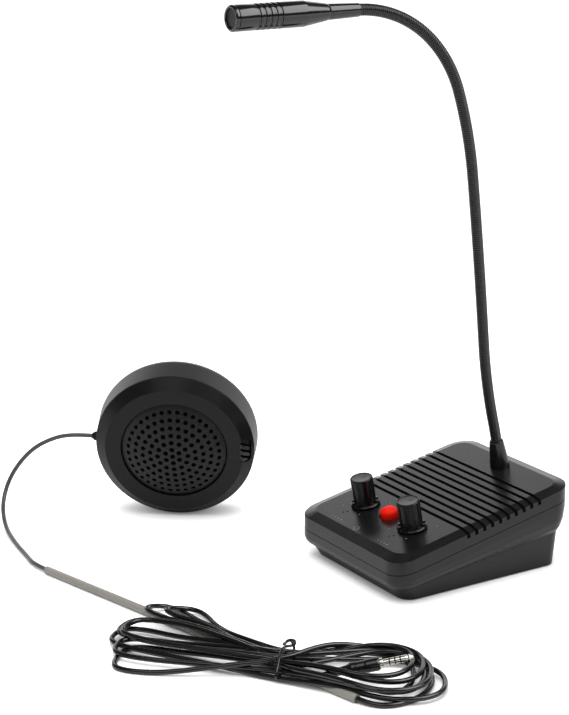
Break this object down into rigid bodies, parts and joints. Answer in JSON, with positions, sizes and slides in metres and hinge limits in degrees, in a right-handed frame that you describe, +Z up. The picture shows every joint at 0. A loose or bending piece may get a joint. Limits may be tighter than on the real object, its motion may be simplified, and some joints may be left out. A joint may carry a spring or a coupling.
{
  "type": "teller window intercom",
  "caption": "Counter intercom: a sloped desk console with volume knobs, a push button and a gooseneck microphone, and a round window speaker on a thin cord that is tied in a hank.",
  "frame": {"origin": "on the table, on the underside of the rubber base pad, under the middle of the console", "axes": "+Z up, +Y to the rear of the console where the gooseneck stands, +X to the right of the person who sits at the microphone"},
  "size_m": [0.3468, 0.2763, 0.3174],
  "materials": {
    "case_black": "fine moulded texture, satin",
    "knob_black": "moulded, fluted, satin",
    "knob_cap_grey": "smooth with a pale pointer line",
    "button_red": "smooth, slightly glossy",
    "steel": "plain plated",
    "pot_can": "pressed can",
    "component_black": "moulded",
    "board_green": "lacquered laminate",
    "cone_paper": "pressed paper cone",
    "magnet": "sintered ferrite",
    "neck_black": "black ribbed spiral, semi-gloss",
    "mic_black": "black lacquer, semi-gloss",
    "mesh": "pierced disc",
    "capsule": "plain",
    "grille_black": "pierced sheet, satin",
    "rubber_black": "soft matt",
    "lead_grey": "smooth sheath",
    "cord_black": "smooth sheath, semi-gloss",
    "sleeve_cream": "smooth tube",
    "plug_metal": "plated"
  },
  "bodies": {
    "root": {"top_cover": "case_black", "bottom_shell": "case_black", "base_pad": "rubber_black", "case_screws": "steel", "circuit_board": "board_green", "amplifier_chip": "component_black", "potentiometer_left": "pot_can", "potentiometer_right": "pot_can", "potentiometer_nuts": "steel", "button_switch": "component_black", "monitor_frame": "steel", "monitor_cone": "cone_paper", "monitor_magnet": "magnet", "speaker_socket": "component_black", "power_socket": "component_black", "neck_ferrule": "neck_black", "neck_nut": "steel", "neck_0": "neck_black", "speaker_bezel": "case_black", "speaker_grille": "grille_black", "speaker_shell": "case_black", "speaker_screws": "steel", "speaker_pad": "rubber_black", "speaker_frame": "steel", "speaker_cone": "cone_paper", "speaker_magnet": "magnet", "speaker_mic_port": "case_black", "speaker_mic_capsule": "component_black", "speaker_gland": "rubber_black", "speaker_lead": "lead_grey", "cord_sleeve": "sleeve_cream", "cord_stub": "cord_black", "cord_hank": "cord_black", "hank_tie": "cord_black", "plug_body": "cord_black", "plug_pin": "plug_metal"},
    "left_knob": {"knob_left": "knob_black", "knob_cap_left": "knob_cap_grey", "shaft_left": "steel"},
    "right_knob": {"knob_right": "knob_black", "knob_cap_right": "knob_cap_grey", "shaft_right": "steel"},
    "push_button": {"button_cap": "button_red"},
    "gooseneck_1": {"neck_1": "neck_black"},
    "gooseneck_2": {"neck_2": "neck_black"},
    "gooseneck_3": {"neck_3": "neck_black"},
    "gooseneck_4": {"neck_4": "neck_black"},
    "gooseneck_5": {"neck_5": "neck_black"},
    "mic_head": {"neck_6": "neck_black", "mic_sleeve": "mic_black", "mic_housing": "mic_black", "mic_cap": "mic_black", "mic_mesh": "mesh", "mic_capsule": "capsule", "mic_holder": "component_black"}
  },
  "joints": [
    {"name": "left_volume", "type": "hinge", "parent": "root", "child": "left_knob", "pos_m": [-0.0223, -0.03099, 0.03161], "axis": [0, -0.1959, 0.9806], "range_deg": [-150, 150]},
    {"name": "right_volume", "type": "hinge", "parent": "root", "child": "right_knob", "pos_m": [0.0223, -0.03099, 0.03161], "axis": [0, -0.1959, 0.9806], "range_deg": [-150, 150]},
    {"name": "button_press", "type": "slide", "parent": "root", "child": "push_button", "axis": [0, 0.1959, -0.9806], "range_m": [0, 0.0015], "stiffness_N_per_m": 1000, "springref_m": -0.0008},
    {"name": "neck_bend_1", "type": "hinge", "parent": "root", "child": "gooseneck_1", "pos_m": [0, 0.04056, 0.07455], "axis": [1, 0, 0], "range_deg": [-25, 25]},
    {"name": "neck_side_1", "type": "hinge", "parent": "gooseneck_1", "child": "gooseneck_2", "pos_m": [0, 0.03223, 0.12178], "axis": [0, 0.9952, 0.0976], "range_deg": [-25, 25]},
    {"name": "neck_bend_2", "type": "hinge", "parent": "gooseneck_2", "child": "gooseneck_3", "pos_m": [0, 0.02722, 0.16951], "axis": [1, 0, 0], "range_deg": [-25, 25]},
    {"name": "neck_side_2", "type": "hinge", "parent": "gooseneck_3", "child": "gooseneck_4", "pos_m": [0, 0.02149, 0.21717], "axis": [0, 0.9919, 0.1271], "range_deg": [-25, 25]},
    {"name": "neck_bend_3", "type": "hinge", "parent": "gooseneck_4", "child": "gooseneck_5", "pos_m": [0, 0.01067, 0.26385], "axis": [1, 0, 0], "range_deg": [-25, 25]},
    {"name": "neck_bend_4", "type": "hinge", "parent": "gooseneck_5", "child": "mic_head", "pos_m": [0, -0.01456, 0.29782], "axis": [1, 0, 0], "range_deg": [-25, 25]}
  ]
}
